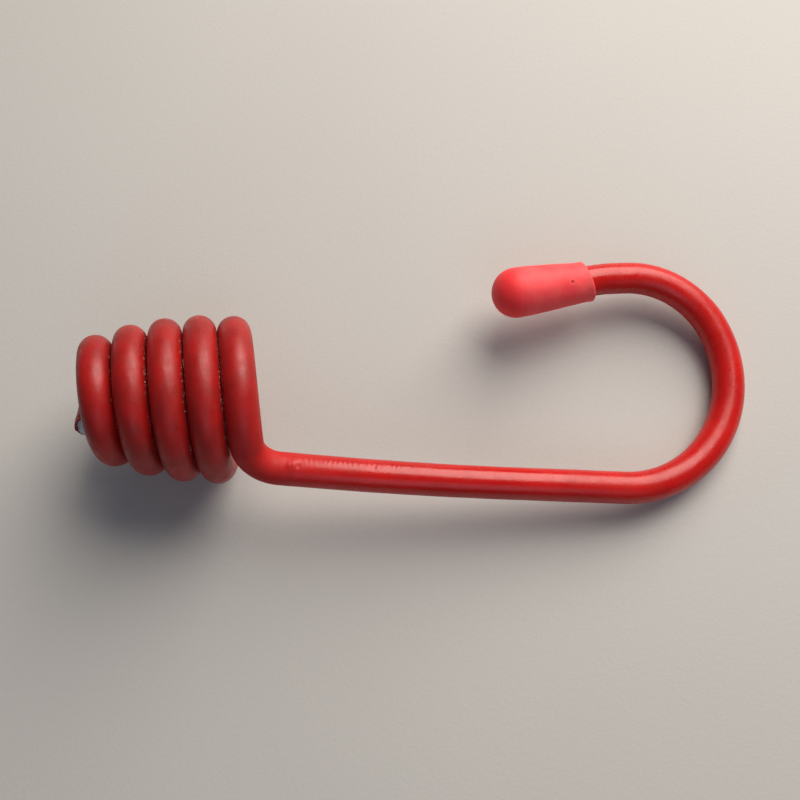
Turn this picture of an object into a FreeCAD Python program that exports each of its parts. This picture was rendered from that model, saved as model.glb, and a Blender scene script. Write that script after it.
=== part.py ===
import FreeCAD, Part

import math
import os

from FreeCAD import Rotation, Vector

# Coil-ended hook for shock cord: one bent steel wire, its plastic coating and a push-on tip cap.
# Drawing frame: the coil's axis is X, with the hook on its +X side and the tip on its +Y side.
# The finished parts are then turned to lie on the floor as the hook rests when it is put down.

# Wire and coating
WIRE_D = 4.0  # bare steel wire
COATING_T = 0.5  # wall of the plastic coating
COATING_LIP = 0.4  # coating that runs on past the cut wire at the coil's open end

# Coil, counted in turns back from where it would reach its -Y side beside the shank
COIL_START = 4.86  # turn where the wire is cut
COIL_END = 0.12  # turn where the wire leaves the coil for the shank
COIL_PITCH = 5.12  # centre to centre of neighbouring turns
COIL_R = 10.35  # largest radius of the wire's centreline
COIL_R_TURN = 0.90  # turn that has the largest radius
COIL_TAPER = 0.266  # radius lost per turn squared, away from that turn
COIL_LEAN_Y = -0.04  # axial lean of the turns per mm of Y
COIL_LEAN_Z = 0.03  # axial lean of the turns per mm of Z
ARCS_PER_TURN = 12  # tangent arcs that follow each turn

# Shank: where it points, and how the flat plane of the hook is rolled about it
SHANK_BEND_R = 5.0
SHANK_YAW = -4.9
HOOK_ROLL = -3.4

# Hook, in its own plane: (radius, angle) of each bend and the straight runs between them
SHANK_BOW = (680.0, 3.0)
SHANK_RUN = 17.3
BOWL_BENDS = [(17.8, 56.7), (18.0, 63.3), (14.65, 65.7)]
ARM_RUN = 2.5
TIP_BEND = (20.0, 7.0)
TIP_RUN = 14.6

# Tip cap, along its axis from the rim
CAP_LENGTH = 16.5
CAP_RIM_R = 3.28
CAP_RIM_RUN = 1.7  # straight stretch that grips the wire
CAP_BODY_R = 4.0  # also the radius of the domed end
CAP_BODY_START = 11.0  # where the taper reaches the full radius
CAP_BLEND_R = 20.0
CAP_RIM_EDGE_R = 0.3
CAP_BORE_CLEARANCE = 0.05
CAP_BORE_EDGE_R = 0.15
CAP_BORE_END_R = 0.5
CAP_GRIP = 13.5  # length of coated wire inside the cap
CAP_END_GAP = 0.6  # from the wire's end to the bottom of the bore

# Attitude at rest: roll about the coil's axis, then nose-down pitch
REST_ROLL = 6.3
REST_PITCH = 9.4

COATING_R = WIRE_D / 2 + COATING_T


class Route:
    """A centreline of straight runs and arcs, each tangent to the one before."""

    def __init__(self, point, direction):
        self.point = point
        self.direction = direction
        self.edges = []

    def run(self, length):
        end = self.point + self.direction * length
        self.edges.append(Part.LineSegment(self.point, end).toShape())
        self.point = end

    def along_bend(self, side, radius, angle):
        forward = self.direction * (radius * math.sin(angle))
        return self.point + forward + side * (radius * (1 - math.cos(angle)))

    def bend(self, side, radius, angle):
        """Turn towards side, a unit vector square to the direction, by angle in radians."""
        middle = self.along_bend(side, radius, angle / 2)
        end = self.along_bend(side, radius, angle)
        self.edges.append(Part.Arc(self.point, middle, end).toShape())
        self.direction = (self.direction * math.cos(angle) + side * math.sin(angle)).normalize()
        self.point = end

    def bend_to_point(self, target):
        chord = target - self.point
        side = square_to(chord, self.direction)
        half = chord.getAngle(self.direction)
        self.bend(side, chord.Length / (2 * math.sin(half)), 2 * half)

    def bend_to_direction(self, target, radius):
        self.bend(square_to(target, self.direction), radius, target.getAngle(self.direction))


def square_to(vector, direction):
    """The unit part of vector that is square to direction."""
    return (vector - direction * direction.dot(vector)).normalize()


def coil_point(turn):
    radius = COIL_R - COIL_TAPER * (turn - COIL_R_TURN) ** 2
    angle = math.pi * (1 - 2 * turn)
    y = radius * math.cos(angle)
    z = radius * math.sin(angle)
    return Vector(COIL_LEAN_Y * y + COIL_LEAN_Z * z - COIL_PITCH * turn, y, z)


def coil_direction(turn):
    """Which way the wire runs, from the cut end towards the shank."""
    step = 0.001
    return (coil_point(turn - step) - coil_point(turn + step)).normalize()


def wind_coil(route):
    count = round((COIL_START - COIL_END) * ARCS_PER_TURN)
    for index in range(1, count + 1):
        turn = COIL_START + (COIL_END - COIL_START) * index / count
        route.bend_to_point(coil_point(turn))


def bend_hook(route):
    yaw = math.radians(SHANK_YAW)
    shank = Vector(math.cos(yaw), math.sin(yaw), 0)
    route.bend_to_direction(shank, SHANK_BEND_R)
    plane_normal = Rotation(shank, HOOK_ROLL).multVec(Vector(0, 0, 1))

    def turn_left(bend):
        route.bend(plane_normal.cross(route.direction), bend[0], math.radians(bend[1]))

    turn_left(SHANK_BOW)
    route.run(SHANK_RUN)
    for bend in BOWL_BENDS:
        turn_left(bend)
    route.run(ARM_RUN)
    turn_left(TIP_BEND)
    route.run(TIP_RUN)


def centreline():
    route = Route(coil_point(COIL_START), coil_direction(COIL_START))
    wind_coil(route)
    bend_hook(route)
    return route


def ring(point, direction, radius):
    return Part.Wire(Part.makeCircle(radius, point, direction))


def make_wire(route):
    start = coil_point(COIL_START)
    disc = Part.Face(ring(start, coil_direction(COIL_START), WIRE_D / 2))
    return Part.Wire(route.edges).makePipe(disc)


def make_coating(route):
    direction = coil_direction(COIL_START)
    cut = coil_point(COIL_START)
    start = cut - direction * COATING_LIP
    lip = Part.LineSegment(start, cut).toShape()
    rings = [ring(start, direction, COATING_R), ring(start, direction, WIRE_D / 2)]
    wall = Part.makeFace(rings, "Part::FaceMakerBullseye")
    return Part.Wire([lip] + route.edges).makePipe(wall)


def rounded_profile(corners):
    """A closed wire through (r, z, blend radius) corners, in the XZ plane."""
    edges = []
    ends = []
    for index, (r, z, blend) in enumerate(corners):
        here = Vector(r, 0, z)
        if blend == 0:
            ends.append((here, here))
            continue
        before = (Vector(corners[index - 1][0], 0, corners[index - 1][1]) - here).normalize()
        following = corners[(index + 1) % len(corners)]
        after = (Vector(following[0], 0, following[1]) - here).normalize()
        half = before.getAngle(after) / 2
        reach = blend / math.tan(half)
        bisector = (before + after).normalize()
        middle = here + bisector * (blend / math.sin(half) - blend)
        first = here + before * reach
        last = here + after * reach
        edges.append(Part.Arc(first, middle, last).toShape())
        ends.append((first, last))
    for index in range(len(ends)):
        edges.append(Part.LineSegment(ends[index - 1][1], ends[index][0]).toShape())
    return Part.Wire(Part.__sortEdges__(edges))


def make_cap_blank():
    """Outside of the cap, solid, with its rim at z = 0 and its dome up."""
    dome_z = CAP_LENGTH - CAP_BODY_R
    body = rounded_profile([
        (0, 0, 0),
        (CAP_RIM_R, 0, CAP_RIM_EDGE_R),
        (CAP_RIM_R, CAP_RIM_RUN, CAP_BLEND_R),
        (CAP_BODY_R, CAP_BODY_START, CAP_BLEND_R),
        (CAP_BODY_R, dome_z, 0),
        (0, dome_z, 0),
    ])
    blank = Part.Face(body).revolve(Vector(0, 0, 0), Vector(0, 0, 1), 360)
    dome = Part.makeSphere(CAP_BODY_R, Vector(0, 0, dome_z), Vector(0, 0, 1), 0, 90, 360)
    return blank.fuse(dome).removeSplitter()


def make_cap_bore():
    bore_r = COATING_R + CAP_BORE_CLEARANCE
    depth = CAP_GRIP + CAP_END_GAP
    mouth_r = bore_r + CAP_BORE_EDGE_R
    profile = rounded_profile([
        (0, -1, 0),
        (mouth_r, -1, 0),
        (mouth_r, 0, 0),
        (bore_r, CAP_BORE_EDGE_R, 0),
        (bore_r, depth, CAP_BORE_END_R),
        (0, depth, 0),
    ])
    return Part.Face(profile).revolve(Vector(0, 0, 0), Vector(0, 0, 1), 360)


def make_cap(route):
    cap = make_cap_blank().cut(make_cap_bore())
    rim = route.point - route.direction * CAP_GRIP
    placement = FreeCAD.Placement(rim, Rotation(Vector(0, 0, 1), route.direction))
    return cap.transformed(placement.toMatrix(), True)


def lay_on_floor(shapes):
    """Turn the parts to their attitude at rest, on the floor and centred on the origin."""
    rotation = Rotation(Vector(0, 1, 0), REST_PITCH) * Rotation(Vector(1, 0, 0), REST_ROLL)
    turned = FreeCAD.Placement(Vector(0, 0, 0), rotation).toMatrix()
    laid = {name: shape.transformed(turned, True) for name, shape in shapes.items()}
    box = Part.makeCompound(list(laid.values())).optimalBoundingBox()
    shift = FreeCAD.Matrix()
    shift.move(Vector(-(box.XMin + box.XMax) / 2, -(box.YMin + box.YMax) / 2, -box.ZMin))
    return {name: shape.transformed(shift, True) for name, shape in laid.items()}


def single_solid(shape):
    return shape if shape.ShapeType == "Solid" else shape.Solids[0]


def main():
    os.makedirs("parts", exist_ok=True)
    route = centreline()
    shapes = {
        "hook_wire": make_wire(route),
        "wire_coating": make_coating(route),
        "tip_cap": make_cap(route),
    }
    for name, shape in lay_on_floor(shapes).items():
        solid = single_solid(shape)
        solid.exportStep(f"parts/{name}.step")
        print(name, "valid", solid.isValid(), "volume", round(solid.Volume, 1))


main()
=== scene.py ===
import math

import bmesh
import bpy
from mathutils import Matrix, Quaternion, Vector, kdtree, noise


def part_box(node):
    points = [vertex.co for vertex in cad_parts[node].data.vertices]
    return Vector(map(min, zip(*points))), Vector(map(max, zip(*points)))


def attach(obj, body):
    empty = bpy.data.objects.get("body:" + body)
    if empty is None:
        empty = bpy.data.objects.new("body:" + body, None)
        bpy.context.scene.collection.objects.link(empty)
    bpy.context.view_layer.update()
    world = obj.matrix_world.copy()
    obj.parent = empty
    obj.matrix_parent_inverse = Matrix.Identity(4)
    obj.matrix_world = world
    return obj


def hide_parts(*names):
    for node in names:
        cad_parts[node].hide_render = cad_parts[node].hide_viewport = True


MM = 0.001
UP = Vector((0, 0, 1))

# Coil, counted in turns back from where it would reach its -Y side beside the shank. Its radius is
# COIL_R at the turn COIL_R_TURN, and falls by COIL_TAPER times the square of the turns from there.
COIL_START = 4.86
COIL_END = 0.12
COIL_PITCH = 5.12 * MM
COIL_R = 10.35 * MM
COIL_R_TURN = 0.90
COIL_TAPER = 0.266 * MM
COIL_LEAN_Y = -0.04
COIL_LEAN_Z = 0.03
ARCS_PER_TURN = 12

# Shank and hook: bends are (radius, degrees), in the hook's own plane
SHANK_BEND_R = 5.0 * MM
SHANK_YAW = -4.9
HOOK_ROLL = -3.4
SHANK_BOW = (680.0 * MM, 3.0)
SHANK_RUN = 17.3 * MM
BOWL_BENDS = [(17.8 * MM, 56.7), (18.0 * MM, 63.3), (14.65 * MM, 65.7)]
ARM_RUN = 2.5 * MM
TIP_BEND = (20.0 * MM, 7.0)
TIP_RUN = 14.6 * MM

# How the hook lies: roll about the coil's axis, then nose-down pitch
REST_ROLL = 6.3
REST_PITCH = 9.4

# Wire, coating and cap
WIRE_R = 2.0 * MM
COATING_R = 2.5 * MM
COATING_LIP = 0.4 * MM
CAP_LENGTH = 16.5 * MM
CAP_RIM_R = 3.28 * MM
CAP_RIM_RUN = 1.7 * MM
CAP_RIM_EDGE = 0.3 * MM
CAP_BODY_R = 4.0 * MM
CAP_BODY_START = 11.0 * MM
CAP_BODY_BLEND = 0.03 * MM
CAP_SEAM = 12.3 * MM
CAP_BORE_R = 2.55 * MM
CAP_BORE_DEPTH = 14.1 * MM
CAP_BORE_END_R = 0.5 * MM
CAP_BORE_EDGE = 0.15 * MM
CAP_GRIP = 13.5 * MM

# The cap's soft shape: swells as (height, how far apart), a seam on its low side, a flared rim, and
# a rim that is shorter on one side
CAP_SWELLS = [(0.035 * MM, 2.6 * MM), (0.012 * MM, 0.8 * MM)]
CAP_LOW_SIDE = Vector((0, -0.6, -0.8))
CAP_SEAM_DEPTH = 0.05 * MM
CAP_SEAM_WIDTH = 0.09 * MM
CAP_FLARE = (0.03 * MM, 1.2 * MM)
CAP_SHORT_SIDE = Vector((0, 0.87, 0.5))
CAP_SKEW = 0.60 * MM
CAP_SKEW_REACH = 5 * MM

# Dark spot on the cap: how far from the rim, above the middle and aside
CAP_SPOT = (4.3 * MM, 3.25 * MM, 0.9 * MM)

# How finely the skins are divided
COATING_SIDES = 48
WIRE_SIDES = 32
CAP_SIDES = 96
CAP_RINGS = 40
STEP = 0.42 * MM
WRINKLE_STEP = 0.2 * MM
LIP_STEP = 0.08 * MM
WALL_SKIP = 4

# Marks in the coating. Each is (distance past the shank's start, degrees from the top towards
# the hook's inside, radius, height), and a pit has a negative height.
MARKS = [
    (1.9 * MM, 6, 1.5 * MM, 0.12 * MM),
    (1.3 * MM, 5, 0.36 * MM, 0.15 * MM),
    (1.95 * MM, 9, 0.36 * MM, 0.15 * MM),
    (2.75 * MM, 4, 0.55 * MM, -0.20 * MM),
    (13.9 * MM, 17, 0.34 * MM, -0.10 * MM),
    (31.5 * MM, 20, 0.40 * MM, -0.05 * MM),
    (64.0 * MM, -12, 0.45 * MM, 0.05 * MM),
    (94.0 * MM, 30, 0.40 * MM, -0.05 * MM),
    (101.0 * MM, 12, 0.42 * MM, 0.07 * MM),
    (106.5 * MM, -4, 0.36 * MM, 0.06 * MM),
]

# The torn lip of the coating at the cut end
LIP_TORN = 1.6 * MM
LIP_BACK = 0.60 * MM
LIP_FLAP = 0.60 * MM
LIP_FLAP_SIDE = Vector((-0.8, 0.5, 0.35)).normalized()
LIP_RAGGED = 0.28 * MM
LIP_TEETH = [(1.0, 2.3), (0.5, 6.1)]
LIP_THINNING = 0.20 * MM

# The sheared end of the steel, and the bevels of its two end faces
CUT_STEP = 0.14 * MM
CUT_SLANT = Vector((0.3, -0.8, 0.2))
CUT_BEVEL = 0.16 * MM
TIP_BEVEL = 0.25 * MM
BEVEL_SLOPE = 0.4

# Ripples in the coating on top of the shank, as distances past the bend
WRINKLES_START = 2.5 * MM
WRINKLES_FULL = (4.0 * MM, 12.0 * MM)
WRINKLES_FAINT = 24.0 * MM
WRINKLES_END = 28.0 * MM
WRINKLES_LOSS = 0.8
WRINKLES_PITCH = 0.72 * MM
WRINKLES_LEAN = math.radians(27)
WRINKLES_SPREAD = 0.2
WRINKLES_HEIGHT = 0.060 * MM

# Slow swells in the coating's thickness, as (height, how far apart)
SWELLS = [(0.022 * MM, 3.2 * MM), (0.030 * MM, 17 * MM)]

# Grooves between turns: how wide they are felt, how far along the wire the next turn is at least,
# and how much the coating rises where two turns all but touch
GROOVE_REACH = 1.4 * MM
NEXT_TURN = 15 * MM
GROOVE_MARGIN = 6 * MM
GROOVE_BEAD = 0.05 * MM

# The coil's darkening is partly a duller, darker skin and partly painted shade
# Where the coating's look changes, in metres of wire from the coil's cut end
COIL_DARKENING_FADES = (0.266, 0.284)
MATT_FADES = (0.280, 0.300)
BEND_STARTS = (0.270, 0.276)
BEND_ENDS = (0.281, 0.285)
BOWL_STARTS = (0.315, 0.335)
BOWL_ENDS = (0.385, 0.400)
DUST_THICKENS = (0.05, 0.25)

# Floor and camera. The sensor and the lens are in millimetres already, and the rest is in metres.
FLOOR_SIZE = 3
SENSOR = 36
LENS = 39.6
NEAREST_SEEN = 5 * MM
CAMERA_AT = Vector((4.56, -37.59, 141.49)) * MM
CAMERA_AIM = Vector((-2.67, -0.81, 0)) * MM
CAMERA_ROLL = -12.31


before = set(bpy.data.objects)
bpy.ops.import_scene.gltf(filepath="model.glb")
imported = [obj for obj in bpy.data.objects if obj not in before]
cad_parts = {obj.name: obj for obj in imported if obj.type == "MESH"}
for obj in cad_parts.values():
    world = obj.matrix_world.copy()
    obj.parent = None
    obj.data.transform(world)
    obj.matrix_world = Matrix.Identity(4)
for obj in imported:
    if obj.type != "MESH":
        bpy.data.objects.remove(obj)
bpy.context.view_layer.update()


# Route of the wire


def square_to(vector, direction):
    return (vector - direction * direction.dot(vector)).normalized()


class Route:
    """A centreline of straight runs and tangent bends, kept as closely spaced points."""

    def __init__(self, point, direction):
        self.points = [point]
        self.along = [0.0]
        self.direction = direction

    def add(self, point, length):
        self.points.append(point)
        self.along.append(self.along[-1] + length)

    def run(self, length, step=STEP):
        count = max(1, math.ceil(length / step))
        start = self.points[-1]
        for index in range(1, count + 1):
            self.add(start + self.direction * (length * index / count), length / count)

    def bend(self, side, radius, angle, step=STEP):
        count = max(1, math.ceil(radius * angle / step))
        axis = self.direction.cross(side)
        start = self.points[-1]
        centre = start + side * radius
        for index in range(1, count + 1):
            turn = Quaternion(axis, angle * index / count)
            self.add(centre + turn @ (start - centre), radius * angle / count)
        self.direction = (Quaternion(axis, angle) @ self.direction).normalized()

    def bend_to_point(self, target, step=STEP):
        chord = target - self.points[-1]
        half = chord.angle(self.direction)
        radius = chord.length / (2 * math.sin(half))
        self.bend(square_to(chord, self.direction), radius, 2 * half, step)

    def moved(self, place):
        other = Route(place @ self.points[0], (place.to_3x3() @ self.direction).normalized())
        other.points = [place @ point for point in self.points]
        other.along = self.along
        return other

    def heading(self, index):
        ahead = min(index + 1, len(self.points) - 1)
        behind = max(index - 1, 0)
        return (self.points[ahead] - self.points[behind]).normalized()

    def nearest(self, distance):
        return min(range(len(self.along)), key=lambda index: abs(self.along[index] - distance))


def coil_point(turn):
    radius = COIL_R - COIL_TAPER * (turn - COIL_R_TURN) ** 2
    angle = math.pi * (1 - 2 * turn)
    y = radius * math.cos(angle)
    z = radius * math.sin(angle)
    return Vector((COIL_LEAN_Y * y + COIL_LEAN_Z * z - COIL_PITCH * turn, y, z))


def coil_direction(turn):
    step = 0.001
    return (coil_point(turn - step) - coil_point(turn + step)).normalized()


def hook_route(lip):
    """The whole hook from the coil's cut end, in its drawing frame. The coil's axis is along X."""
    direction = coil_direction(COIL_START)
    route = Route(coil_point(COIL_START) - direction * lip, direction)
    if lip:
        route.run(lip, LIP_STEP)
    count = round((COIL_START - COIL_END) * ARCS_PER_TURN)
    for index in range(1, count + 1):
        step = LIP_STEP * 2 if index == 1 else STEP
        turn = COIL_START + (COIL_END - COIL_START) * index / count
        route.bend_to_point(coil_point(turn), step)
    yaw = math.radians(SHANK_YAW)
    shank = Vector((math.cos(yaw), math.sin(yaw), 0))
    angle = shank.angle(route.direction)
    route.bend(square_to(shank, route.direction), SHANK_BEND_R, angle, WRINKLE_STEP)
    shank_starts = route.along[-1]
    normal = Quaternion(shank, math.radians(HOOK_ROLL)) @ UP
    for part in (SHANK_BOW, SHANK_RUN, *BOWL_BENDS, ARM_RUN, TIP_BEND, TIP_RUN):
        if isinstance(part, float):
            route.run(part)
        else:
            step = WRINKLE_STEP if part is SHANK_BOW else STEP
            route.bend(normal.cross(route.direction), part[0], math.radians(part[1]), step)
    return route, shank_starts


# Meshes


def tube(points, radius, sides):
    """A tube round the points, as a mesh with its vertices in order, ring by ring."""
    curve = bpy.data.curves.new("tube", "CURVE")
    curve.dimensions = "3D"
    curve.twist_mode = "MINIMUM"
    curve.bevel_depth = radius
    curve.bevel_resolution = sides // 2 - 2  # a resolution of n gives 2 n + 4 sides
    line = curve.splines.new("POLY")
    line.points.add(len(points) - 1)
    for knot, point in zip(line.points, points):
        knot.co = (*point, 1)
    holder = bpy.data.objects.new("tube", curve)
    mesh = bpy.data.meshes.new_from_object(holder)
    bpy.data.objects.remove(holder)
    bpy.data.curves.remove(curve)
    return mesh


def new_bmesh():
    """A bmesh whose vertices keep their place on the skin and how deep in a groove they sit."""
    bm = bmesh.new()
    bm.verts.layers.float_vector.new("skin")
    bm.verts.layers.float.new("groove")
    return bm


def add_tube(bm, route, radius, sides, skip=1):
    """Adds a tube with a ring at every skip-th point, and notes each vertex's place on the skin."""
    points = route.points[:-1:skip] + route.points[-1:]
    along = route.along[:-1:skip] + route.along[-1:]
    skin = bm.verts.layers.float_vector["skin"]
    start = len(bm.verts)
    mesh = tube(points, radius, sides)
    bm.from_mesh(mesh)
    bpy.data.meshes.remove(mesh)
    bm.verts.ensure_lookup_table()
    verts = bm.verts[start:]
    for index, vert in enumerate(verts):
        ring, side = divmod(index, sides)
        angle = math.tau * side / sides
        vert[skin] = (radius * math.cos(angle), radius * math.sin(angle), along[ring])
    return verts


def join_rings(bm, first, second):
    for index in range(len(first)):
        bm.faces.new((first[index - 1], first[index], second[index], second[index - 1]))


def open_edges_near(bm, point, reach):
    return [edge for edge in bm.edges
            if edge.is_boundary and (edge.verts[0].co - point).length < reach]


def finish_piece(bm, name, body, node, material, crease=None):
    """Makes the mesh a named piece that rides a body. Edges sharper than the crease stay sharp."""
    bmesh.ops.recalc_face_normals(bm, faces=bm.faces)
    for face in bm.faces:
        face.smooth = True
    if crease:
        for edge in bm.edges:
            if edge.is_manifold and edge.calc_face_angle(0) > crease:
                edge.smooth = False
    mesh = bpy.data.meshes.new(name)
    bm.to_mesh(mesh)
    bm.free()
    mesh.materials.append(material)
    piece = bpy.data.objects.new(name, mesh)
    bpy.context.scene.collection.objects.link(piece)
    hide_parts(node)
    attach(piece, body)


def smooth_step(value, low, high):
    part = min(max((value - low) / (high - low), 0), 1)
    return part * part * (3 - 2 * part)


def falloff(distance, radius):
    """1 at the middle of a mark and 0 from its radius on."""
    return 1 - smooth_step(distance, 0, radius)


# Coating


def mark_places(route, shank_starts):
    places = []
    for distance, lean, radius, height in MARKS:
        index = route.nearest(shank_starts + distance)
        heading = route.heading(index)
        up = square_to(UP, heading)
        inward = up.cross(heading)
        lean = math.radians(lean)
        out = up * math.cos(lean) + inward * math.sin(lean)
        places.append((route.points[index] + out * COATING_R, radius, height))
    return places


def wrinkle(past_bend, out, heading):
    """Ripples across the top of the shank, where the coating was pushed up by the bend."""
    if not WRINKLES_START < past_bend < WRINKLES_END:
        return 0
    up = square_to(UP, heading)
    lean = math.atan2(out.dot(up.cross(heading)), out.dot(up))
    strength = smooth_step(past_bend, WRINKLES_START, WRINKLES_FULL[0])
    strength *= 1 - WRINKLES_LOSS * smooth_step(past_bend, WRINKLES_FULL[1], WRINKLES_FAINT)
    strength *= math.exp(-((lean - WRINKLES_LEAN) / WRINKLES_SPREAD) ** 2)
    place = Vector((past_bend, lean * COATING_R, 0)) / MM
    wander = 4.4 * noise.noise(place * 0.8) + 1.8 * lean
    patchy = 0.55 + 0.9 * noise.noise(place * 0.55 + 7 * UP)
    wave = math.sin(math.tau * past_bend / WRINKLES_PITCH + wander)
    return strength * patchy * WRINKLES_HEIGHT * wave


def swells(place, sizes):
    """Slow rises and falls added up, each with its own height and how far apart they are."""
    return sum(height * noise.noise(place / size) for height, size in sizes)


def shape_skin(bm, verts, route, shank_starts):
    """Gives the dipped skin its uneven thickness, and its blister, pits and wrinkles."""
    marks = mark_places(route, shank_starts)
    skin = bm.verts.layers.float_vector["skin"]
    groove = bm.verts.layers.float["groove"]
    for index, vert in enumerate(verts):
        ring = index // COATING_SIDES
        centre = route.points[ring]
        out = (vert.co - centre).normalized()
        rise = swells(vert[skin], SWELLS)
        rise += wrinkle(vert[skin].z - shank_starts, out, route.heading(ring))
        for place, radius, height in marks:
            distance = (vert.co - place).length
            if distance < radius:
                rise += height * falloff(distance, radius)
        rise += GROOVE_BEAD * smooth_step(vert[groove], 0.85, 1.0)
        vert.co += out * rise


def tear_lip(bm, verts, route, skip, thinning):
    """Draws the coating back from the cut end, except where a flap of it was left standing."""
    skin = bm.verts.layers.float_vector["skin"]
    for index, vert in enumerate(verts):
        along = vert[skin].z
        if along > LIP_TORN:
            break
        ring = index // COATING_SIDES * skip
        heading = route.heading(ring)
        out = square_to(vert.co - route.points[ring], heading)
        torn = 1 - smooth_step(along, 0, LIP_TORN)
        ragged = sum(share * noise.noise(out * count) for share, count in LIP_TEETH)
        back = LIP_BACK - LIP_FLAP * max(out.dot(LIP_FLAP_SIDE), 0) + LIP_RAGGED * ragged
        vert.co += heading * (back * torn) - out * (thinning * torn * torn)


def measure_grooves(bm, verts, route, coil_ends):
    """Notes how close each point of the coil's skin is to the next turn: 1 where they touch."""
    groove = bm.verts.layers.float["groove"]
    inside = [index for index, along in enumerate(route.along) if along < coil_ends]
    tree = kdtree.KDTree(len(inside))
    for index in inside:
        tree.insert(route.points[index], index)
    tree.balance()
    for index, vert in enumerate(verts):
        along = route.along[index // COATING_SIDES]
        if along > coil_ends + GROOVE_MARGIN:
            break
        found = [far for _, near, far in tree.find_range(vert.co, COATING_R + GROOVE_REACH)
                 if abs(route.along[near] - along) > NEXT_TURN]
        if found:
            vert[groove] = 1 - max(min(found) - COATING_R, 0) / GROOVE_REACH


def make_coating(route, shank_starts):
    bm = new_bmesh()
    outer = add_tube(bm, route, COATING_R, COATING_SIDES)
    measure_grooves(bm, outer, route, shank_starts)
    shape_skin(bm, outer, route, shank_starts)
    inner = add_tube(bm, route, WIRE_R, COATING_SIDES, WALL_SKIP)
    tear_lip(bm, outer, route, 1, LIP_THINNING)
    tear_lip(bm, inner, route, WALL_SKIP, 0)
    join_rings(bm, outer[:COATING_SIDES], inner[:COATING_SIDES])
    join_rings(bm, outer[-COATING_SIDES:], inner[-COATING_SIDES:])
    return bm


def make_wire(route):
    bm = new_bmesh()
    verts = add_tube(bm, route, WIRE_R, WIRE_SIDES, 2)
    heading = route.heading(0)
    for vert in verts[:WIRE_SIDES]:
        out = (vert.co - route.points[0]).normalized()
        vert.co -= heading * (CUT_STEP * (1 + out.dot(CUT_SLANT)))
    for end, bevel in ((route.points[0], CUT_BEVEL), (route.points[-1], TIP_BEVEL)):
        edges = open_edges_near(bm, end, 2 * WIRE_R)
        faces = bmesh.ops.contextual_create(bm, geom=edges)["faces"]
        bmesh.ops.recalc_face_normals(bm, faces=bm.faces)
        bmesh.ops.inset_region(bm, faces=faces, thickness=bevel, depth=bevel * BEVEL_SLOPE)
    return bm


# Cap


def cap_radius(height):
    """Outside of the sleeve: a short straight rim, a long taper, then a soft turn to full width."""
    slope = (CAP_BODY_R - CAP_RIM_R) / (CAP_BODY_START - CAP_RIM_RUN)
    taper = CAP_RIM_R + slope * max(height - CAP_RIM_RUN, 0)
    gap = taper - CAP_BODY_R
    return (taper + CAP_BODY_R - math.sqrt(gap * gap + CAP_BODY_BLEND ** 2)) / 2


def arc(radius, height, size, first, last, steps):
    """Points on an arc in the half section, with its middle at (radius, height)."""
    angles = [math.radians(first + (last - first) * index / steps) for index in range(steps + 1)]
    return [(radius + size * math.cos(angle), height + size * math.sin(angle)) for angle in angles]


def cap_outline():
    """Half section of the cap as (radius, height) points, from the bore's end to the dome's top."""
    dome = CAP_LENGTH - CAP_BODY_R
    end = CAP_BORE_END_R
    edge = CAP_BORE_EDGE
    points = [(0, CAP_BORE_DEPTH)]
    points += arc(CAP_BORE_R - end, CAP_BORE_DEPTH - end, end, 90, 0, steps=4)
    points += [(CAP_BORE_R, 9 * MM), (CAP_BORE_R, 4 * MM)]
    points += arc(CAP_BORE_R + edge, edge, edge, 180, 270, steps=3)
    points += arc(CAP_RIM_R - CAP_RIM_EDGE, CAP_RIM_EDGE, CAP_RIM_EDGE, -90, 0, steps=6)
    side = dome - CAP_RIM_EDGE
    heights = [CAP_RIM_EDGE + side * index / CAP_RINGS for index in range(1, CAP_RINGS)]
    heights += [CAP_SEAM + shift * MM for shift in (-0.10, -0.04, 0.0, 0.04, 0.10)]
    points += [(cap_radius(height), height) for height in sorted(heights)]
    return points + arc(0, dome, CAP_BODY_R, 0, 90, steps=24)


def cap_rise(place, out, low_side):
    """How far the outside of the cap stands out from its drawn shape."""
    on_low_side = smooth_step(out.dot(low_side), -0.1, 0.4)
    rise = swells(place, CAP_SWELLS)
    rise -= CAP_SEAM_DEPTH * on_low_side * falloff(abs(place.z - CAP_SEAM), CAP_SEAM_WIDTH)
    return rise + CAP_FLARE[0] * falloff(place.z, CAP_FLARE[1])


def make_cap(tip, direction):
    bm = new_bmesh()
    skin = bm.verts.layers.float_vector["skin"]
    verts = [bm.verts.new((radius, 0, height)) for radius, height in cap_outline()]
    edges = [bm.edges.new(pair) for pair in zip(verts, verts[1:])]
    bmesh.ops.spin(bm, geom=verts + edges, cent=(0, 0, 0), axis=(0, 0, 1), angle=math.tau,
                   steps=CAP_SIDES, use_merge=True)
    bmesh.ops.remove_doubles(bm, verts=bm.verts, dist=0.001 * MM)
    turn = UP.rotation_difference(direction).to_matrix().to_4x4()
    back = turn.to_3x3().inverted()
    low_side = back @ CAP_LOW_SIDE
    short_side = back @ CAP_SHORT_SIDE
    for vert in bm.verts:
        vert[skin] = vert.co
        x, y, height = vert.co
        if math.hypot(x, y) > CAP_BORE_R + 0.2 * MM or height > CAP_BORE_DEPTH + 0.5 * MM:
            out = Vector((x, y, max(height - CAP_LENGTH + CAP_BODY_R, 0))).normalized()
            vert.co += out * cap_rise(vert.co, out, low_side)
        if vert.co.z < CAP_SKEW_REACH:
            lean = Vector((vert.co.x, vert.co.y, 0)).normalized().dot(short_side)
            fade = 1 - smooth_step(vert.co.z, 0, CAP_SKEW_REACH)
            vert.co.z += CAP_SKEW * (1 + lean) * fade
    place = Matrix.Translation(tip - direction * CAP_GRIP) @ turn
    bmesh.ops.transform(bm, matrix=place, verts=bm.verts)
    return bm


# Shader writing


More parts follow.
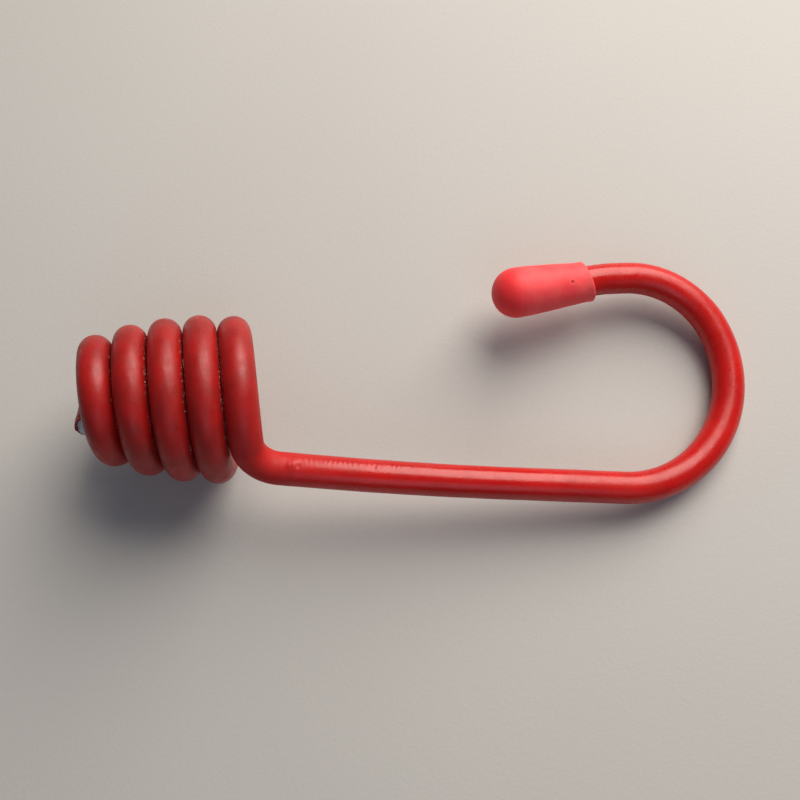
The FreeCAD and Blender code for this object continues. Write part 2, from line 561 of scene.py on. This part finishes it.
class Socket:
    """A shader socket that arithmetic can be written with."""

    def __init__(self, shader, socket):
        self.shader = shader
        self.socket = socket

    def math(self, operation, *others):
        return self.shader.node("ShaderNodeMath", {"operation": operation}, self, *others)

    def __add__(self, other):
        return self.math("ADD", other)

    def __radd__(self, other):
        return self.math("ADD", other)

    def __sub__(self, other):
        return self.math("SUBTRACT", other)

    def __rsub__(self, other):
        return self.shader.node("ShaderNodeMath", {"operation": "SUBTRACT"}, other, self)

    def __mul__(self, other):
        return self.math("MULTIPLY", other)

    def __rmul__(self, other):
        return self.math("MULTIPLY", other)


class Shader:
    """A material under construction."""

    def __init__(self, name, **settings):
        self.material = bpy.data.materials.new(name)
        self.material.use_nodes = True
        self.tree = self.material.node_tree
        self.surface = self.tree.nodes["Principled BSDF"]
        for label, value in settings.items():
            self.surface.inputs[label.replace("_", " ")].default_value = value

    def node(self, kind, settings=None, *values, output=0, **named):
        made = self.tree.nodes.new(kind)
        for key, value in (settings or {}).items():
            setattr(made, key, value)
        inputs = [(made.inputs[index], value) for index, value in enumerate(values)]
        inputs += [(made.inputs[key.replace("_", " ")], value) for key, value in named.items()]
        for socket, value in inputs:
            if isinstance(value, Socket):
                self.tree.links.new(value.socket, socket)
            elif value is not None:
                socket.default_value = value
        return Socket(self, made.outputs[output])

    def object_place(self):
        return self.node("ShaderNodeTexCoord", output=3)

    def skin_place(self):
        return self.node("ShaderNodeAttribute", {"attribute_name": "skin"}, output=1)

    def groove(self):
        return self.node("ShaderNodeAttribute", {"attribute_name": "groove"}, output=2)

    def stretched(self, place, scale):
        return self.node("ShaderNodeMapping", None, place, Scale=scale)

    def noise(self, place, size, detail=2.0, roughness=0.5):
        """Noise from 0 to 1 whose features are about the given size across."""
        return self.node("ShaderNodeTexNoise", None, place, Scale=1 / size, Detail=detail,
                         Roughness=roughness)

    def cells(self, place, size):
        """Distance from the middle of the nearest cell, in cells."""
        return self.node("ShaderNodeTexVoronoi", None, place, Scale=1 / size)

    def ramp(self, value, low, high, start=0.0, end=1.0):
        """Smoothly from start, where the value is low, to end, where it is high."""
        settings = {"interpolation_type": "SMOOTHSTEP"}
        return self.node("ShaderNodeMapRange", settings, value, low, high, start, end)

    def axis(self, place, index):
        return self.node("ShaderNodeSeparateXYZ", None, place, output=index)

    def distance(self, place, point):
        settings = {"operation": "DISTANCE"}
        return self.node("ShaderNodeVectorMath", settings, place, point, output=1)

    def mix(self, factor, first, second):
        """First colour where the factor is 0, and second where it is 1."""
        settings = {"data_type": "RGBA"}
        number_inputs = [None] * 5
        return self.node("ShaderNodeMix", settings, factor, *number_inputs, first, second, output=2)

    def bump(self, height):
        """Height is in millimetres."""
        return self.node("ShaderNodeBump", None, Strength=1.0, Distance=MM, Height=height)

    def feed(self, **sockets):
        for label, value in sockets.items():
            self.tree.links.new(value.socket, self.surface.inputs[label.replace("_", " ")])
        return self.material


def dipped_red_coating():
    """Glossy red dip, duller on the coil and its bend, darker on the coil partly as painted shade,
    with painted shade and dust between the turns.
    """
    deep_red = (0.50, 0.0062, 0.0048, 1)
    bright_red = (0.60, 0.0095, 0.0068, 1)
    blotched_red = (0.40, 0.008, 0.007, 1)
    dull_and_shaded_coil_red = (0.285, 0.0072, 0.0060, 1)
    shaded_red = (0.16, 0.004, 0.003, 1)
    pale_dust = (0.66, 0.50, 0.44, 1)
    dark_nick = (0.09, 0.006, 0.006, 1)

    shader = Shader("dipped_red_coating", Specular_IOR_Level=0.42)
    place = shader.object_place()
    skin = shader.skin_place()
    groove = shader.groove()
    along = shader.axis(skin, 2)

    clouds = shader.noise(skin, 7 * MM, 3.0)
    blotches = shader.noise(skin, 1.6 * MM, 4.0, 0.6)
    red = shader.mix(shader.ramp(clouds, 0.3, 0.7), deep_red, bright_red)
    red = shader.mix(shader.ramp(blotches, 0.52, 0.75) * 0.30, red, blotched_red)

    # The coil is painted darker: partly its duller, darker skin, partly painted shade, as the coil
    # takes less light than the shank and hook
    uneven = shader.ramp(shader.noise(skin, 3.5 * MM, 3.0), 0.3, 0.7, 0.5, 1.0)
    dull_and_shaded_coil = shader.ramp(along, *COIL_DARKENING_FADES, 1.0, 0.0) * uneven
    red = shader.mix(dull_and_shaded_coil * 0.95, red, dull_and_shaded_coil_red)

    shaded = shader.ramp(groove, 0.45, 1.0)
    red = shader.mix(shaded * 0.55, red, shaded_red)

    grains = shader.ramp(shader.cells(place, 0.46 * MM), 0.25, 0.37, 1.0, 0.0)
    clusters = shader.noise(place, 0.9 * MM, 2.0) + shader.ramp(along, *DUST_THICKENS, -0.07, 0.01)
    clusters = shader.ramp(clusters, 0.43, 0.50)
    in_groove = shader.ramp(groove, 0.58, 0.76)
    dust = grains * clusters * in_groove * shader.ramp(blotches, 0.35, 0.65, 0.45, 1.0)
    loose = shader.ramp(shader.cells(place, 1.3 * MM), 0.05, 0.09, 1.0, 0.0)
    loose = loose * shader.ramp(shader.noise(place, 4 * MM, 2.0), 0.60, 0.70)
    specks = dust.math("MAXIMUM", loose * 0.3)
    colour = shader.mix(specks, red, pale_dust)

    nicks = shader.ramp(shader.cells(skin, 2.4 * MM), 0.03, 0.055, 1.0, 0.0)
    nicks = nicks * shader.ramp(shader.noise(skin, 6 * MM, 1.0), 0.45, 0.55)
    colour = shader.mix(nicks * 0.8, colour, dark_nick)

    drawn = shader.noise(shader.stretched(skin, (1.0, 1.0, 0.05)), 0.35 * MM, 3.0, 0.6)
    peel = shader.noise(skin, 0.9 * MM, 3.0, 0.55)
    grainy = shader.noise(skin, 0.38 * MM, 3.0, 0.65)
    fine = shader.noise(skin, 0.16 * MM, 2.0)
    scuffs = shader.noise(skin, 1.1 * MM, 4.0, 0.65)
    patches = shader.ramp(shader.noise(skin, 2.6 * MM, 3.0, 0.6), 0.35, 0.65, 0.4, 1.0)

    matt = shader.ramp(along, *MATT_FADES, 1.0, 0.0)
    bend = shader.ramp(along, *BEND_STARTS) * shader.ramp(along, *BEND_ENDS, 1.0, 0.0)
    bowl = shader.ramp(along, *BOWL_STARTS) * shader.ramp(along, *BOWL_ENDS, 1.0, 0.0)
    roughness = shader.ramp(blotches, 0.25, 0.8, 0.16, 0.30) + (drawn - 0.5) * 0.10
    roughness = roughness + matt * (0.22 + (scuffs - 0.5) * 0.45)
    roughness = roughness + bend * 0.22 + bowl * patches * 0.13
    roughness = roughness + specks * 0.4 + shaded * 0.15

    height = peel * 0.012 + grainy * 0.018 + fine * 0.0018 + drawn * 0.004
    height = height + scuffs * matt * 0.022 + specks * 0.05 - nicks * 0.03
    return shader.feed(Base_Color=colour, Roughness=roughness, Normal=shader.bump(height))


def sheared_steel():
    """Bare steel, dragged by the shears and a little tarnished."""
    dark_steel = (0.34, 0.40, 0.47, 1)
    pale_steel = (0.62, 0.68, 0.76, 1)
    brown_tarnish = (0.20, 0.15, 0.11, 1)

    shader = Shader("sheared_steel", Metallic=1.0)
    place = shader.object_place()
    drag = shader.noise(shader.stretched(place, (1.0, 0.15, 1.0)), 0.12 * MM, 4.0, 0.7)
    steel = shader.mix(drag, dark_steel, pale_steel)
    tarnish = shader.ramp(shader.noise(place, 0.7 * MM, 3.0), 0.52, 0.72)
    colour = shader.mix(tarnish * 0.6, steel, brown_tarnish)
    roughness = 0.32 + drag * 0.22 + tarnish * 0.2
    return shader.feed(Base_Color=colour, Roughness=roughness, Normal=shader.bump(drag * 0.03))


def soft_coral_vinyl(spot_place):
    """Matt soft plastic, redder on the dome, with grime and one dark spot."""
    body_red = (0.93, 0.052, 0.062, 1)
    body_coral = (0.97, 0.094, 0.096, 1)
    dome_red = (0.92, 0.029, 0.035, 1)
    dome_coral = (0.95, 0.042, 0.048, 1)
    mottled_red = (0.60, 0.040, 0.050, 1)
    rim_coral = (0.92, 0.14, 0.13, 1)
    dark_grime = (0.22, 0.050, 0.055, 1)
    dark_spot = (0.30, 0.008, 0.012, 1)
    seam_red = (0.40, 0.02, 0.03, 1)

    shader = Shader("soft_coral_vinyl", Specular_IOR_Level=0.35, Sheen_Weight=0.05,
                    Sheen_Roughness=0.5)
    skin = shader.skin_place()
    up = shader.axis(skin, 2)
    clouds = shader.noise(skin, 3.2 * MM, 4.0, 0.6)
    mottle = shader.noise(skin, 0.5 * MM, 3.0, 0.6)

    body = shader.mix(shader.ramp(clouds, 0.3, 0.7), body_red, body_coral)
    dome = shader.mix(clouds, dome_red, dome_coral)
    dome_edge = up + (clouds - 0.5) * (3 * MM)
    colour = shader.mix(shader.ramp(dome_edge, 11.2 * MM, 14.0 * MM), body, dome)
    colour = shader.mix(shader.ramp(mottle, 0.5, 0.8) * 0.18, colour, mottled_red)

    rim = shader.ramp(up, 0.0, 2.2 * MM, 1.0, 0.0)
    colour = shader.mix(rim * 0.25, colour, rim_coral)
    grime = shader.ramp(shader.noise(skin, 1.9 * MM, 5.0, 0.7), 0.60, 0.74)
    grime = grime * shader.ramp(up, 1 * MM, 12 * MM, 1.0, 0.3)
    colour = shader.mix(grime * 0.45, colour, dark_grime)
    from_spot = shader.distance(shader.object_place(), spot_place)
    spot = shader.ramp(from_spot, 0.16 * MM, 0.30 * MM, 1.0, 0.0)
    colour = shader.mix(spot * 0.9, colour, dark_spot)
    from_seam = (up - CAP_SEAM).math("ABSOLUTE")
    seam = shader.ramp(from_seam, 0.02 * MM, CAP_SEAM_WIDTH, 1.0, 0.0)
    colour = shader.mix(seam * 0.30, colour, seam_red)

    grain = shader.noise(skin, 0.13 * MM, 3.0, 0.6)
    roughness = shader.ramp(clouds, 0.2, 0.8, 0.48, 0.62) + (grain - 0.5) * 0.12 + grime * 0.1
    height = clouds * 0.02 + mottle * 0.010 + grain * 0.005 - spot * 0.08
    return shader.feed(Base_Color=colour, Roughness=roughness, Normal=shader.bump(height))


# Pieces


def middle(box):
    return (box[0] + box[1]) / 2


def middle_of(mesh):
    low = Vector([min(vert.co[axis] for vert in mesh.vertices) for axis in range(3)])
    high = Vector([max(vert.co[axis] for vert in mesh.vertices) for axis in range(3)])
    return (low + high) / 2


def place_in_frame(route):
    """Tilts the drawn hook to its lie, then shifts it into the box of the CAD coating."""
    roll = Matrix.Rotation(math.radians(REST_ROLL), 4, "X")
    pitch = Matrix.Rotation(math.radians(REST_PITCH), 4, "Y")
    lying = pitch @ roll
    trial = tube(route.moved(lying).points, COATING_R, COATING_SIDES)
    shift = middle(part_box("wire_coating")) - middle_of(trial)
    bpy.data.meshes.remove(trial)
    return Matrix.Translation(shift) @ lying


def make_hook():
    """Makes the coating and the wire inside it. Gives back the wire's tip and the way it points."""
    drawn, shank_starts = hook_route(COATING_LIP)
    place = place_in_frame(drawn)
    coating = make_coating(drawn.moved(place), shank_starts)
    finish_piece(coating, "red_coating", "hook", "wire_coating",
                 dipped_red_coating(), crease=math.radians(50))
    route = hook_route(0)[0].moved(place)
    wire = make_wire(route)
    finish_piece(wire, "steel_wire", "hook", "hook_wire",
                 sheared_steel(), crease=math.radians(30))
    return route.points[-1], route.direction


def make_tip_cap(tip, direction):
    up = square_to(UP, direction)
    side = up.cross(direction)
    from_rim, above, aside = CAP_SPOT
    spot_place = tip + direction * (from_rim - CAP_GRIP) + up * above + side * aside
    cap = make_cap(tip, direction)
    finish_piece(cap, "soft_tip_cap", "cap", "tip_cap", soft_coral_vinyl(spot_place))


make_tip_cap(*make_hook())


# Studio


def pale_paper():
    warm_grey = (0.55, 0.528, 0.50, 1)
    pale_grey = (0.59, 0.568, 0.54, 1)
    fibre_grey = (0.46, 0.44, 0.41, 1)

    shader = Shader("pale_paper", Specular_IOR_Level=0.2)
    place = shader.object_place()
    sweep = shader.noise(place, 60 * MM, 2.0)
    fibre = shader.noise(place, 0.7 * MM, 4.0, 0.7)
    colour = shader.mix(sweep, warm_grey, pale_grey)
    colour = shader.mix(shader.ramp(fibre, 0.5, 0.8) * 0.12, colour, fibre_grey)
    roughness = 0.8 + fibre * 0.1
    return shader.feed(Base_Color=colour, Roughness=roughness, Normal=shader.bump(fibre * 0.04))


def make_floor():
    bpy.ops.mesh.primitive_plane_add(size=FLOOR_SIZE)
    floor = bpy.context.object
    floor.name = "floor"
    floor.data.materials.append(pale_paper())


def make_light(name, at, size, power, colour):
    """A soft rectangular light that faces the middle of the floor."""
    data = bpy.data.lights.new(name, "AREA")
    data.shape = "RECTANGLE"
    data.size, data.size_y = size
    data.energy = power
    data.color = colour
    light = bpy.data.objects.new(name, data)
    light.location = at
    light.rotation_euler = (-Vector(at)).to_track_quat("-Z", "Y").to_euler()
    bpy.context.scene.collection.objects.link(light)


def make_camera():
    data = bpy.data.cameras.new("camera")
    data.sensor_width = SENSOR
    data.lens = LENS
    data.clip_start = NEAREST_SEEN
    camera = bpy.data.objects.new("camera", data)
    roll = Quaternion(UP, math.radians(CAMERA_ROLL))
    camera.rotation_mode = "QUATERNION"
    camera.rotation_quaternion = (CAMERA_AIM - CAMERA_AT).to_track_quat("-Z", "Y") @ roll
    camera.location = CAMERA_AT
    bpy.context.scene.collection.objects.link(camera)
    bpy.context.scene.camera = camera


def make_world(colour, strength):
    world = bpy.data.worlds.new("studio")
    world.use_nodes = True
    background = world.node_tree.nodes["Background"]
    background.inputs["Color"].default_value = colour
    background.inputs["Strength"].default_value = strength
    bpy.context.scene.world = world


make_floor()
make_light("window", at=(0.165, 0.262, 0.275), size=(0.33, 0.40), power=2.75,
           colour=(1.0, 0.94, 0.86))
make_light("sky_fill", at=(0.10, -0.42, 0.42), size=(0.45, 0.35), power=0.40,
           colour=(0.72, 0.82, 1.0))
make_camera()
make_world(colour=(0.80, 0.86, 1.0, 1), strength=0.11)
bpy.context.scene.view_settings.view_transform = "Standard"
